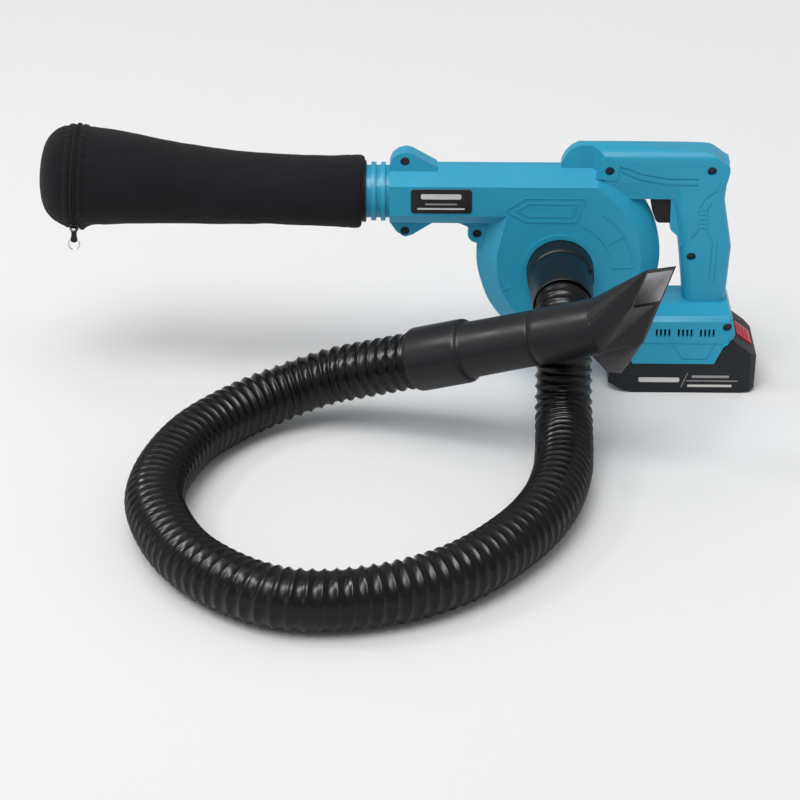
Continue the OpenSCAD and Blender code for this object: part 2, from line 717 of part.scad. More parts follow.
module power_transistor() {
    color([0.08, 0.08, 0.08]) union() {
        box(-20, -4, -8, 2, 39.7, 44.6);
        box(-17, -7, 2, 8, 39.7, 41.2);
    }
}
module terminal_block() {
    color([0.12, 0.12, 0.12]) difference() {
        box(-45.4, -36, -15.5, 15.5, 35, 37.7);
        for (y = [-10, 10]) box(-42.5, -38, y - 0.55, y + 0.55, 30, 40);
    }
}
module terminal_blades() {
    color([0.78, 0.6, 0.3]) for (y = [-10, 10]) union() {
        box(-42.2, -38.3, y - 0.4, y + 0.4, 30, 37.9);
        box(-42.2, -28, y - 0.4, y + 0.4, 29.5, 33);
    }
}
module motor_wires() {
    color([0.5, 0.06, 0.05]) for (s = [-1, 1])
        rod_sweep(smooth([[10, 4.5 * s, 140.4], [12, 4.5 * s, 120], [11, 5 * s, 95], [10, 6 * s, 70],
            [8, 8 * s, 52], [7, 9 * s, 40]], 3), 1.1, 8, [0, 1, 0]);
}

// slide-on battery pack
battery_lower = [[-68.5, 6], [-60, 4.4], [-49, 0], [44.7, 0], [56.4, 3], [57, 17.5], [-68.5, 17.5]];
battery_upper = [
    [-68.5, 17.5], [57, 17.5], [57.5, 33], [37.2, 48.2], [29, 42.6], [21.8, 27], [-50, 27], [-60, 19],
    [-68.5, 18.4]
];
battery_plan = [
    [-70, -battery_half_width + 8], [-60, -battery_half_width], [52, -battery_half_width],
    [59, -battery_half_width + 8], [59, battery_half_width - 8], [52, battery_half_width],
    [-60, battery_half_width], [-70, battery_half_width - 8]
];
module battery_clip() {
    intersection() {
        children();
        translate([0, 0, -1]) linear_extrude(70) polygon(battery_plan);
    }
}
module battery_lower_case() {
    color(black_plastic) difference() {
        battery_clip() profile_y(battery_lower, -battery_half_width, battery_half_width);
        box(-50.5, 46, -34, 34, 2.5, 20);
        for (s = battery_screw_at) {
            translate([s[0], s[1], -1]) cylinder(r = 2.8, h = s[0] < 0 ? 9 : 5);
            translate([s[0], s[1], -1]) cylinder(r = 1.4, h = 30);
        }
    }
}
latch_tilt = 36.8;
module latch_frame() {
    translate([47.5, 0, 40.6]) rotate([0, latch_tilt, 0]) children();
}
module battery_upper_case() {
    color(black_plastic) difference() {
        union() {
            battery_clip() profile_y(battery_upper, -battery_half_width, battery_half_width);
            box(-46, 20, -20, 20, 26.5, 31);
            box(-46, 20, -24, 24, 30.4, 34);
        }
        box(-50.5, 46, -34, 34, 17, 24.5);
        for (y = [-10, 10]) box(-47, -24, y - 1.3, y + 1.3, 28.6, 35);
        for (s = battery_screw_at) translate([s[0], s[1], 10]) cylinder(r = 1.25, h = s[0] < 0 ? 8.2 : 14);
        latch_frame() translate([-8.4, -14.4, -9]) cube([16.8, 28.8, 14]);
    }
}
module battery_cells() {
    color([0.1, 0.35, 0.6]) for (k = [0 : 4]) along_y(-40.5 + 19.2 * k, -32.5, 32.5, 12, 9.1);
}
module cell_straps() {
    color(metal_colour) for (s = [-1, 1]) for (k = [0 : 1])
        translate([-31 + 38.4 * k + 19.2 * (s + 1) / 2, s * 32.8, 12]) cube([26, 0.4, 8], center = true);
}
module battery_contacts() {
    color([0.78, 0.6, 0.3]) for (y = [-10, 10]) for (s = [-1, 1])
        box(-40, -26, y + s * 0.85 - 0.35, y + s * 0.85 + 0.35, 28.8, 33);
}
module latch_button() {
    color([0.75, 0.08, 0.1]) latch_frame() union() {
        translate([-8, -14, -3.5]) cube([16, 28, 4.6]);
        for (k = [0 : 2]) translate([-5 + 4 * k, -9, 1]) cube([1.6, 18, 0.8]);
    }
}
module latch_spring() {
    color(metal_colour) latch_frame() rotate([0, 90, 0])
        rod_sweep(helix([3.9, 0, 0], 3.2, 1.5, 3, 12), 0.4, 6, [1, 0, 0]);
}
module battery_screws() {
    color(metal_colour) for (s = battery_screw_at) {
        top = s[0] < 0 ? 17.6 : 23;
        seat = s[0] < 0 ? 8 : 4;
        translate([s[0], s[1], seat - 2]) cylinder(r = 2.5, h = 2);
        translate([s[0], s[1], seat - 0.1]) cylinder(r = 1.2, h = top - seat);
    }
}

suction_side_casing();
motor_side_casing();
casing_screws();
label_plate();
intake_adapter();
hose();
hose_cuff();
nozzle();
dust_bag();
bag_end_panel();
bag_mouth_band();
zip_tape();
zip_slider();
zip_pull_tab();
zip_ring();
impeller();
impeller_nut();
rotor_shaft();
armature();
commutator();
front_bearing();
rear_bearing();
motor_can();
motor_magnets();
motor_end_bell();
carbon_brushes();
motor_screws();
motor_cover();
cover_screws();
trigger();
switch_plunger();
trigger_spring();
switch_body();
control_board();
power_transistor();
terminal_block();
terminal_blades();
motor_wires();
battery_lower_case();
battery_upper_case();
battery_cells();
cell_straps();
battery_contacts();
latch_button();
latch_spring();
battery_screws();
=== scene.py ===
"""Looks of a cordless blower and vacuum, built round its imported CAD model. Metres, +Z up."""

import json
import math

import bmesh
import bpy
from mathutils import Matrix, Vector, noise


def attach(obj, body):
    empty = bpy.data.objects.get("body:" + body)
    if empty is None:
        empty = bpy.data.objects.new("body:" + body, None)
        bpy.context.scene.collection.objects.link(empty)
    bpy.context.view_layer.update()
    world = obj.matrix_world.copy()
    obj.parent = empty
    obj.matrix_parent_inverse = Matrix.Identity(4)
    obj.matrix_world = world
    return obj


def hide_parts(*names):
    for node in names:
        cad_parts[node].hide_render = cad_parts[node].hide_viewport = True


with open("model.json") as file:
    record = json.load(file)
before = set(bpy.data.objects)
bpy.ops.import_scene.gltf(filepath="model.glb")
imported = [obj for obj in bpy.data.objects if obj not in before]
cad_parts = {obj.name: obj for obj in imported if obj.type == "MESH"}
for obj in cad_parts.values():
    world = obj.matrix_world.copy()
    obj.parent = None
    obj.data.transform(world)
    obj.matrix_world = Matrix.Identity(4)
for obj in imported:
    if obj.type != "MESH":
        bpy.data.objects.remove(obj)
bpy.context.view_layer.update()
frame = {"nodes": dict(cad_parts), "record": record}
NODES = frame["nodes"]
MM = 0.001
scene = bpy.context.scene

# ---------------------------------------------------------------- camera

camera_data = bpy.data.cameras.new("camera")
camera_data.lens = 130.8
camera_data.sensor_width = 36
camera_data.clip_start = 0.1
camera = bpy.data.objects.new("camera", camera_data)
camera.location = (-0.2081, -2.3099, 1.0508)
camera.rotation_euler = (math.radians(65), 0, math.radians(1))
scene.collection.objects.link(camera)
scene.camera = camera


# ---------------------------------------------------------------- mesh helpers

def make_object(name, vertices, faces, material, smooth=True):
    mesh = bpy.data.meshes.new(name)
    mesh.from_pydata([tuple(v) for v in vertices], [], faces)
    mesh.validate()
    bm = bmesh.new()
    bm.from_mesh(mesh)
    bmesh.ops.recalc_face_normals(bm, faces=bm.faces)
    bm.to_mesh(mesh)
    bm.free()
    for polygon in mesh.polygons:
        polygon.use_smooth = smooth
    made = bpy.data.objects.new(name, mesh)
    scene.collection.objects.link(made)
    made.data.materials.append(material)
    return made


def bevel(piece, width, segments=2, angle=35):
    """Rounds the sharp edges of a piece."""
    modifier = piece.modifiers.new("bevel", "BEVEL")
    modifier.width = width
    modifier.segments = segments
    modifier.limit_method = "ANGLE"
    modifier.angle_limit = math.radians(angle)
    modifier.use_clamp_overlap = True
    modifier.harden_normals = True


def finish_piece(piece, body, replaced=()):
    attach(piece, body)
    if replaced:
        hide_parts(*replaced)
    return piece


def loop_faces(rings, sides, closed=True):
    """Quads between rings of the same number of points, and caps where the tube isn't closed on itself."""
    faces = []
    for i in range(rings - 1):
        for k in range(sides):
            j = (k + 1) % sides
            faces.append((i * sides + k, i * sides + j, (i + 1) * sides + j, (i + 1) * sides + k))
    if closed:
        for k in range(sides):
            j = (k + 1) % sides
            faces.append(((rings - 1) * sides + k, (rings - 1) * sides + j, j, k))
    return faces


def lathe(name, place, profile, material, sides=96):
    """A closed profile of (height, radius) in millimetres turned about the local Z axis of place."""
    points = []
    for height, radius in profile:
        for k in range(sides):
            a = 2 * math.pi * k / sides
            points.append(place @ Vector((radius * math.cos(a), radius * math.sin(a), height)) * MM)
    return make_object(name, points, loop_faces(len(profile), sides), material)


def turn(degrees, axis):
    return Matrix.Rotation(math.radians(degrees), 4, axis)


def prism(name, place, outline, low, high, material):
    """A flat outline in millimetres raised from low to high along the local Z axis of place."""
    n = len(outline)
    points = [place @ Vector((x, y, z)) * MM for z in (low, high) for x, y in outline]
    faces = [tuple(range(n)), tuple(range(n, 2 * n))]
    faces += [(k, (k + 1) % n, n + (k + 1) % n, n + k) for k in range(n)]
    return make_object(name, points, faces, material, smooth=False)


def axes(origin, along, up):
    """A frame at origin, in millimetres, with local Z along and local X towards up."""
    z = Vector(along).normalized()
    x = (Vector(up) - Vector(up).dot(z) * z).normalized()
    y = z.cross(x)
    return Matrix.Translation(Vector(origin)) @ Matrix((x, y, z)).transposed().to_4x4()


# ---------------------------------------------------------------- materials

class Shader:
    """A principled material whose colour, roughness and bump come from procedural nodes."""

    def __init__(self, name, roughness, **constants):
        self.material = bpy.data.materials.new(name)
        self.material.use_nodes = True
        self.nodes = self.material.node_tree.nodes
        self.links = self.material.node_tree.links
        self.shader = self.nodes["Principled BSDF"]
        self.shader.inputs["Roughness"].default_value = roughness
        for socket, value in constants.items():
            self.shader.inputs[socket.replace("_", " ")].default_value = value
        self.place = self.nodes.new("ShaderNodeTexCoord")

    def noise(self, scale, detail=3, stretch=(1, 1, 1)):
        mapping = self.nodes.new("ShaderNodeMapping")
        mapping.inputs["Scale"].default_value = stretch
        self.links.new(self.place.outputs["Object"], mapping.inputs["Vector"])
        made = self.nodes.new("ShaderNodeTexNoise")
        made.inputs["Scale"].default_value = scale
        made.inputs["Detail"].default_value = detail
        self.links.new(mapping.outputs["Vector"], made.inputs["Vector"])
        return made.outputs["Fac"]

    def ramp(self, value, low, high, low_at=0.3, high_at=0.7):
        made = self.nodes.new("ShaderNodeMapRange")
        self.links.new(value, made.inputs["Value"])
        limits = {"From Min": low_at, "From Max": high_at, "To Min": low, "To Max": high}
        for socket, number in limits.items():
            made.inputs[socket].default_value = number
        return made.outputs["Result"]

    def math(self, operation, a, b=None):
        made = self.nodes.new("ShaderNodeMath")
        made.operation = operation
        for socket, value in zip(made.inputs, (a, b)):
            if value is None:
                continue
            if isinstance(value, (int, float)):
                socket.default_value = value
            else:
                self.links.new(value, socket)
        return made.outputs["Value"]

    def mix(self, factor, first, second):
        made = self.nodes.new("ShaderNodeMix")
        made.data_type = "RGBA"
        self.links.new(factor, made.inputs["Factor"])
        for socket, colour in (("A", first), ("B", second)):
            target = [s for s in made.inputs if s.name == socket and s.type == "RGBA"][0]
            if isinstance(colour, tuple):
                target.default_value = (*colour, 1)
            else:
                self.links.new(colour, target)
        return [s for s in made.outputs if s.type == "RGBA"][0]

    def colour(self, socket):
        self.links.new(socket, self.shader.inputs["Base Color"])

    def roughness(self, socket):
        self.links.new(socket, self.shader.inputs["Roughness"])

    def bump(self, height, distance, strength=1.0):
        made = self.nodes.new("ShaderNodeBump")
        made.inputs["Distance"].default_value = distance
        made.inputs["Strength"].default_value = strength
        self.links.new(height, made.inputs["Height"])
        self.links.new(made.outputs["Normal"], self.shader.inputs["Normal"])


def shade(colour, factor):
    return tuple(min(1.0, c * factor) for c in colour)


def moulded(name, colour, roughness, grain=1400, depth=0.00006, spread=0.12, **constants):
    """Moulded plastic: fine spark-eroded grain, slow colour drift and rubbed, slightly glossier patches."""
    s = Shader(name, roughness, **constants)
    drift = s.noise(14, 4)
    fleck = s.noise(420, 2)
    blend = s.math("ADD", s.math("MULTIPLY", drift, 0.7), s.math("MULTIPLY", fleck, 0.3))
    s.colour(s.mix(s.ramp(blend, 0, 1), shade(colour, 1 - spread), shade(colour, 1 + spread)))
    s.roughness(s.ramp(s.noise(45, 5), roughness - 0.07, roughness + 0.07))
    s.bump(s.noise(grain, 2), depth, 0.35)
    return s.material


def paint_mouth_light(material):
    """Paints light into the colour: a light grey painted highlight on the inside wall of the mouth's upper
    lobe and a darker grey of painted light on the near face of its wing.
    """
    tree = material.node_tree
    shader = tree.nodes["Principled BSDF"]

    def along(direction, node_type="ShaderNodeTexCoord", output="Object"):
        source = tree.nodes.new(node_type)
        made = tree.nodes.new("ShaderNodeVectorMath")
        made.operation = "DOT_PRODUCT"
        tree.links.new(source.outputs[output], made.inputs[0])
        made.inputs[1].default_value = direction
        return made.outputs["Value"]

    def combine(first, operation, second):
        made = tree.nodes.new("ShaderNodeMath")
        made.operation = operation
        tree.links.new(first, made.inputs[0])
        if isinstance(second, float):
            made.inputs[1].default_value = second
        else:
            tree.links.new(second, made.inputs[1])
        return made.outputs["Value"]

    def recolour(mask, colour):
        mix = tree.nodes.new("ShaderNodeMix")
        mix.data_type = "RGBA"
        colours = [s for s in mix.inputs if s.type == "RGBA"]
        tree.links.new(mask, mix.inputs["Factor"])
        tree.links.new(shader.inputs["Base Color"].links[0].from_socket, colours[0])
        colours[1].default_value = (*colour, 1)
        tree.links.new([s for s in mix.outputs if s.type == "RGBA"][0], shader.inputs["Base Color"])

    upward = mouth_side.cross(cuff_dir)
    centre = cuff_at * MM
    normals = ("ShaderNodeNewGeometry", "Normal")
    sideways = along(mouth_side)
    height = combine(along(upward), "SUBTRACT", centre.dot(upward))
    deep = combine(sideways, "LESS_THAN", centre.dot(mouth_side) - WING_DEPTH)
    facing_pipe = combine(along(mouth_side, *normals), "GREATER_THAN", 0.6)
    # Painted light: the near face of the wing gets a grey that stands in for light falling on that face.
    recolour(combine(deep, "MULTIPLY", facing_pipe), WING_PAINTED_LIGHT)
    across = combine(sideways, "SUBTRACT", centre.dot(mouth_side))
    outward = combine(combine(along(upward, *normals), "MULTIPLY", height), "ADD",
                      combine(along(mouth_side, *normals), "MULTIPLY", across))
    not_rim = combine(along(cuff_dir, *normals), "LESS_THAN", 0.7)
    inner_wall = combine(combine(outward, "LESS_THAN", -0.002), "MULTIPLY", not_rim)
    upper_lobe = combine(height, "GREATER_THAN", LOBE_FLOOR)
    # Painted light: the inside wall of the mouth's upper lobe gets a light grey that stands in for light
    # falling into the mouth.
    recolour(combine(inner_wall, "MULTIPLY", upper_lobe), MOUTH_PAINTED_LIGHT)


def metal(name, colour, roughness, stretch=(1, 1, 1)):
    s = Shader(name, roughness, Metallic=1.0)
    streak = s.noise(260, 4, stretch)
    s.colour(s.mix(s.ramp(streak, 0, 1), shade(colour, 0.82), shade(colour, 1.1)))
    s.roughness(s.ramp(streak, roughness - 0.08, roughness + 0.12))
    s.bump(streak, 0.00003, 0.4)
    return s.material


def knit(name, colour, pitch):
    """Knitted cloth: rows of small loops along the UV map, in metres, with fuzz and worn patches."""
    s = Shader(name, 0.95, Sheen_Weight=0.06, Sheen_Roughness=0.6, Specular_IOR_Level=0.08)
    split = s.nodes.new("ShaderNodeSeparateXYZ")
    s.links.new(s.place.outputs["UV"], split.inputs["Vector"])
    turn = 2 * math.pi / pitch
    rows = s.math("SINE", s.math("MULTIPLY", split.outputs["X"], turn))
    shift = s.math("MULTIPLY", s.math("ABSOLUTE", rows), 1.4)
    loops = s.math("SINE", s.math("ADD", s.math("MULTIPLY", split.outputs["Y"], turn * 0.8), shift))
    fuzz = s.noise(1800, 2)
    weave = s.math("ADD", s.math("MULTIPLY", s.math("ADD", rows, loops), 0.22), fuzz)
    wear = s.noise(22, 5)
    blend = s.math("ADD", s.math("MULTIPLY", weave, 0.55), s.math("MULTIPLY", wear, 0.6))
    s.colour(s.mix(s.ramp(blend, 0, 1, 0.2, 1.0), shade(colour, 0.6), shade(colour, 1.7)))
    s.bump(weave, 0.00035, 0.6)
    return s.material


TEAL = (0.0215, 0.335, 0.525)
casing_plastic = moulded("casing plastic", TEAL, 0.4, 1500, 0.00005, 0.05, Specular_IOR_Level=0.3)
cuff_at = Vector((-232, -128, 70))
cuff_dir = Vector((122, -52, 49)).normalized()
mouth_side = Vector((-0.474, -0.832, 0.288))
mouth_side = (mouth_side - mouth_side.dot(cuff_dir) * cuff_dir).normalized()
# Where the painted light on the nozzle's mouth goes, in metres from its axis, and the two greys of painted
# light.
WING_DEPTH = 0.0115
LOBE_FLOOR = 0.011
WING_PAINTED_LIGHT = (0.085, 0.082, 0.09)
MOUTH_PAINTED_LIGHT = (0.5, 0.495, 0.515)
black_plastic = moulded("black plastic", (0.007, 0.0075, 0.009), 0.38, Specular_IOR_Level=0.28)
nozzle_plastic = moulded("nozzle plastic", (0.0125, 0.0119, 0.0145), 0.38, Specular_IOR_Level=0.26)
# Paints light into the colour of the nozzle's mouth.
paint_mouth_light(nozzle_plastic)
battery_plastic = moulded("battery plastic", (0.010, 0.0125, 0.016), 0.5, Specular_IOR_Level=0.3)
hose_plastic = moulded(
    "hose plastic", (0.0045, 0.0045, 0.0055), 0.26, 500, 0.00003, 0.2, Specular_IOR_Level=0.24)
latch_plastic = moulded("latch plastic", (0.52, 0.012, 0.03), 0.35)
band_rubber = moulded("band rubber", (0.006, 0.006, 0.007), 0.55, 800, Specular_IOR_Level=0.25)
impeller_plastic = moulded("impeller plastic", (0.02, 0.02, 0.022), 0.55, 900)
white_plastic = moulded("white plastic", (0.75, 0.75, 0.73), 0.35)
label_plastic = moulded("label plate", (0.007, 0.007, 0.008), 0.3, 900, 0.00003)
print_white = moulded("white print", (0.62, 0.62, 0.6), 0.5)
print_grey = moulded("grey print", (0.3, 0.3, 0.3), 0.5)
bag_cloth = knit("bag cloth", (0.0095, 0.0092, 0.0112), 0.0016)
zip_cloth = knit("zip cloth", (0.010, 0.010, 0.011), 0.0012)
bright_metal = metal("bright metal", (0.72, 0.72, 0.74), 0.22)
steel = metal("steel", (0.55, 0.55, 0.57), 0.32, (1, 8, 1))
dark_steel = metal("dark steel", (0.05, 0.05, 0.055), 0.4)
copper = metal("copper", (0.7, 0.36, 0.18), 0.3, (1, 6, 1))
board = moulded("board", (0.01, 0.12, 0.04), 0.3)
cell_sleeve = moulded("cell sleeve", (0.02, 0.14, 0.36), 0.3)
wire_sleeve = moulded("wire sleeve", (0.35, 0.01, 0.01), 0.45)
ferrite = moulded("ferrite", (0.03, 0.03, 0.032), 0.7, 600)
laminate = metal("laminate", (0.30, 0.22, 0.17), 0.5, (1, 40, 1))

SLOT_MATERIAL = {
    "casing_plastic": casing_plastic, "black_plastic": black_plastic, "nozzle_plastic": nozzle_plastic,
    "hose_plastic": hose_plastic, "bag_fabric": bag_cloth, "zip_fabric": zip_cloth,
    "band_rubber": band_rubber, "zip_metal": dark_steel,
    "bright_metal": bright_metal, "steel": steel, "dark_steel": dark_steel,
    "armature_steel": laminate, "copper": copper, "magnet": ferrite, "impeller_plastic": impeller_plastic,
    "switch_plastic": white_plastic, "board_green": board, "wire_red": wire_sleeve,
    "battery_plastic": battery_plastic, "cell_blue": cell_sleeve, "latch_red": latch_plastic,
    "label_film": label_plastic,
}
for part in frame["record"]["subparts"]:
    node = NODES[part["node"]]
    node.data.materials.clear()
    node.data.materials.append(SLOT_MATERIAL[part["material_slot"]])

# ---------------------------------------------------------------- hose

HOSE_R = 24
RIB_PITCH = 9.8
RIB_DEPTH = 2.5
HOSE_BORE_R = HOSE_R - RIB_DEPTH - 1.2
hose_route = [
    (-112, -90, 107), (-112, -104, 106.5), (-112, -122, 98), (-112, -136, 80), (-112, -145, 60),
    (-112, -159, 40), (-112, -181, 28), (-113, -211, 24.5), (-116, -248, 24.5), (-127, -298, 24.5),
    (-150, -350, 24.5), (-190, -405, 24.5), (-240, -441, 24.5), (-300, -456, 24.5), (-350, -442, 24.5),
    (-400, -392, 24.5), (-430, -320, 24.5), (-433, -260, 24.5), (-415, -190, 24.5), (-382, -138, 25),
    (-344, -110, 31), (-306, -104, 43), (-274, -112, 54), tuple(cuff_at - 12 * cuff_dir),
    tuple(cuff_at + 12 * cuff_dir),
]


def spline(points, steps):
    """A Catmull-Rom curve through the points."""
    points = [Vector(p) for p in points]
    curve = []
    for i in range(len(points) - 1):
        a, b, c, d = points[max(i - 1, 0)], points[i], points[i + 1], points[min(i + 2, len(points) - 1)]
        for k in range(steps):
            s = k / steps
            curve.append(0.5 * (2 * b + (c - a) * s + (2 * a - 5 * b + 4 * c - d) * s ** 2
                                + (3 * b - a - 3 * c + d) * s ** 3))
    return curve + [points[-1]]


def even(points, step):
    """The same line with its points a fixed step apart, and its length."""
    lengths = [0.0]
    for a, b in zip(points, points[1:]):
        lengths.append(lengths[-1] + (b - a).length)
    count = max(2, round(lengths[-1] / step))
    line, i = [], 0
    for k in range(count + 1):
        at = lengths[-1] * k / count
        while i < len(points) - 2 and lengths[i + 1] < at:
            i += 1
        line.append(points[i].lerp(points[i + 1], (at - lengths[i]) / (lengths[i + 1] - lengths[i])))
    return line, lengths[-1]


def tube_frames(line):
    """Crossing unit vectors carried along a line without twist."""
    frames = []
    tangent = (line[1] - line[0]).normalized()
    side = tangent.cross(Vector((0, 0, 1))).normalized()
    for i in range(len(line)):
        turned = (line[min(i + 1, len(line) - 1)] - line[max(i - 1, 0)]).normalized()
        side = (side - side.dot(turned) * turned).normalized()
        frames.append((side, turned.cross(side)))
    return frames


def rib_radius(turns):
    """Radius of the corrugated wall: narrow round crests with wide round grooves between them."""
    groove = math.sqrt(math.sin(math.pi * turns) ** 2 + 0.004)
    return HOSE_R + 0.15 - RIB_DEPTH * groove ** 0.75


def rib_turns(at):
    """Turns of the rib up to a place on the hose; it is squeezed together where it leaves the adapter."""
    return at / RIB_PITCH + 4 * (1 - math.exp(-at / 42))


def make_hose():
    samples = 12
    line, length = even(spline(hose_route, 24), RIB_PITCH / samples)
    frames = tube_frames(line)
    sides = 56
    points = []
    for i, (centre, (side, up)) in enumerate(zip(line, frames)):
        for k in range(sides):
            a = 2 * math.pi * k / sides
            r = rib_radius(rib_turns(length * i / (len(line) - 1)) + k / sides)
            points.append((centre + r * (math.cos(a) * side + math.sin(a) * up)) * MM)
    outer = len(line)
    coarse = sorted({outer - 1, *range(0, outer, samples)}, reverse=True)
    for i in coarse:
        side, up = frames[i]
        for k in range(sides):
            a = 2 * math.pi * k / sides
            points.append((line[i] + HOSE_BORE_R * (math.cos(a) * side + math.sin(a) * up)) * MM)
    hose = make_object("suction_hose", points, loop_faces(outer + len(coarse), sides), hose_plastic)
    finish_piece(hose, "blower", ["hose"])
    return hose, line, length


hose, hose_line, hose_length = make_hose()

# ---------------------------------------------------------------- cuff

cuff_place = axes(cuff_at, cuff_dir, (0, 0, 1))


def make_cuff():
    profile = [
        (0, 24.1), (0, 25.2), (0.8, 25.9), (2, 26.3), (4, 26.5), (44.5, 26.5), (47, 26.3),
        (48.6, 25.5), (49.6, 24.4), (50.3, 23.6), (51.5, 23.15), (54, 23), (110, 22.5), (112.6, 22.4),
        (113.7, 22.0), (114.1, 21.3), (114.2, 20.4), (135.4, 20.4), (136, 19.9), (136, 18.2),
        (135.4, 18), (12.2, 18), (12.2, 24.1),
    ]
    cuff = lathe("cuff", cuff_place, profile, nozzle_plastic)
    bevel(cuff, 0.0002, 1, 50)
    return finish_piece(cuff, "blower", ["hose_cuff"])


cuff = make_cuff()

# ---------------------------------------------------------------- intake adapter

adapter_place = axes((-112, -24, 107), (0, -1, 0), (0, 0, 1))


def make_adapter():
    profile = [
        (-2.5, 20.6), (-2.5, 25.9), (0, 26), (0, 28.2), (18.6, 28.2), (20.2, 27.9), (21.2, 27.2),
        (21.8, 26.6), (23.2, 26.5), (24, 26.9), (40, 26.4), (75, 25.3), (76.8, 25.1), (77.7, 24.7),
        (78, 24.2), (66.2, 24.1), (66, 20.6),
    ]
    adapter = lathe("adapter", adapter_place, profile, black_plastic)
    bevel(adapter, 0.0003, 2, 40)
    finish_piece(adapter, "blower", ["intake_adapter"])
    lug = prism("adapter_lug", adapter_place @ turn(-62, "Z") @ Matrix.Translation((27.6, 0, 24)),
                [(-1.6, -3.2), (1.0, -2.6), (1.0, 2.6), (-1.6, 3.2)], 0, 7, black_plastic)
    bevel(lug, 0.0005, 2, 30)
    finish_piece(lug, "blower")


make_adapter()

# ---------------------------------------------------------------- dust bag

bag_tilt = math.radians(3)
bag_place = axes((-277, 0, 168.5), (-math.cos(bag_tilt), 0, math.sin(bag_tilt)),
                 (math.sin(bag_tilt), 0, math.cos(bag_tilt)))
BAG_PROFILE = [
    (2.6, 26.6), (2.7, 28.4), (3.4, 29.8), (5, 30.8), (7.4, 31.2), (11, 31.2), (30, 30.4), (57, 29.8),
    (80, 29.9), (100, 30.6), (130, 32.2), (160, 34.3), (180, 36.2), (200, 38.4), (220, 40.6),
    (234, 42.1), (238, 42.6), (240.6, 42.9), (242.2, 41.8),
]
END_PROFILE = [
    (247.8, 41.8), (249.4, 42.9), (252, 42.6), (258, 41.3), (263, 38.9), (267, 35.6), (270.5, 31.2),
    (273.4, 25), (275.2, 18), (276.1, 11), (276.4, 4), (276.45, 0.4),
]
ZIP_AT = 245
ZIP_R = 43.4


def along_profile(profile, step):
    """Points along a smooth curve through the profile, about a step apart."""
    line = spline([(h, r, 0) for h, r in profile], 12)
    return [(p.x, p.y) for p in even(line, step)[0]]


def cloth_radius(height, radius, angle):
    """Radius of the cloth: broad sag, shallow creases, hem stitching, the seam and puckers at the zip."""
    around = Vector((math.cos(angle), math.sin(angle), height / 60))
    soft = noise.noise(around * 1.3 + Vector((3.1, 0, 0))) * 0.9 + noise.noise(around * 3.7) * 0.35
    fine = noise.noise(Vector((around.x * 9, around.y * 9, height / 9))) * 0.16
    calm = min(1.0, max(0.0, (height - 2) / 25)) * min(1.0, max(0.0, abs(height - ZIP_AT) / 12))
    hem = -0.35 * math.exp(-((height - 14) / 0.8) ** 2)
    from_zip = abs(height - ZIP_AT)
    facing_strip = (0.8 / (1 + math.exp((from_zip - 8.2) * 3))
                    - 0.9 * math.exp(-((from_zip - 9.6) / 0.9) ** 2))
    near_zip = math.exp(-((abs(height - ZIP_AT) - 7) / 6) ** 2)
    pucker = near_zip * 0.3 * math.sin(31 * angle + 2.2 * noise.noise(around * 2))
    low = math.exp(-(((angle - math.pi * 1.13 + math.pi) % (2 * math.pi) - math.pi) / 0.16) ** 2)
    fold = low * (2.2 * math.exp(-((height - 238.5) / 4.5) ** 2)
                  - 1.2 * math.exp(-((height - 228) / 5) ** 2)
                  + 1.2 * math.exp(-((height - 254) / 4) ** 2))
    from_seam = (angle - 0.75 * math.pi + math.pi) % (2 * math.pi) - math.pi
    seam = 0.7 * math.exp(-(from_seam * radius / 1.3) ** 2)
    creases = 0.45 * near_mouth_crease(height, angle)
    return radius + calm * (soft + fine + creases) + hem + facing_strip + pucker + fold + seam * calm


def near_mouth_crease(height, angle):
    """Slanting shallow creases where the cloth hangs off the collar."""
    wave = math.sin(3 * angle + height / 14 + 2 * noise.noise(Vector((angle, height / 40, 5))))
    return max(0.0, wave) ** 3 * math.exp(-((height - 48) / 40) ** 2)


def cloth_tube(name, profile, lining, material, replaced):
    """Cloth turned about the bag's axis with its own thickness and a UV map in metres."""
    sides = 176
    outer = along_profile(profile, 1.6)
    inner = [(h, max(0.2, r - lining)) for h, r in along_profile(profile, 8)][::-1]
    points, where = [], []
    run = 0.0
    for i, (height, radius) in enumerate(outer + inner):
        if i:
            before = (outer + inner)[i - 1]
            run += math.hypot(height - before[0], radius - before[1])
        for k in range(sides):
            angle = 2 * math.pi * k / sides
            fade = min(1.0, radius / 25)
            r = radius + fade * (cloth_radius(height, radius, angle) - radius)
            if i >= len(outer):
                r = min(r, cloth_radius(height, radius + lining, angle) - 1.6) if radius > 20 else radius
            sag = -2.7 * math.sin(math.pi * min(1, max(0, height / 205))) ** 1.2
            points.append(bag_place @ Vector((r * math.cos(angle) + sag, r * math.sin(angle), height)) * MM)
            where.append((k, run))
    made = make_object(name, points, loop_faces(len(outer) + len(inner), sides), material)
    layer = made.data.uv_layers.new(name="UVMap")
    width = 2 * math.pi * max(r for h, r in profile) * MM / sides
    for polygon in made.data.polygons:
        turns = [where[v][0] for v in polygon.vertices]
        for loop, vertex in zip(polygon.loop_indices, polygon.vertices):
            k, length = where[vertex]
            if k == 0 and max(turns) == sides - 1:
                k = sides
            layer.data[loop].uv = (k * width, length * MM)
    return finish_piece(made, "bag", replaced)


def make_bag():
    cloth_tube("bag_cloth", BAG_PROFILE, 2, bag_cloth, ["dust_bag"])
    cloth_tube("bag_end", END_PROFILE, 2, bag_cloth, ["bag_end_panel"])
    collar = lathe("bag_collar", axes((-277, 0, 169), (-1, 0, 0), (0, 0, 1)), [
        (0, 22.9), (0, 25.6), (0.5, 26.2), (1.2, 26.4), (2, 26.1), (3.2, 26), (4, 26.6), (5, 27),
        (17.5, 27), (18, 26), (18, 22.9),
    ], band_rubber)
    bevel(collar, 0.0003, 2, 40)
    finish_piece(collar, "bag", ["bag_mouth_band"])


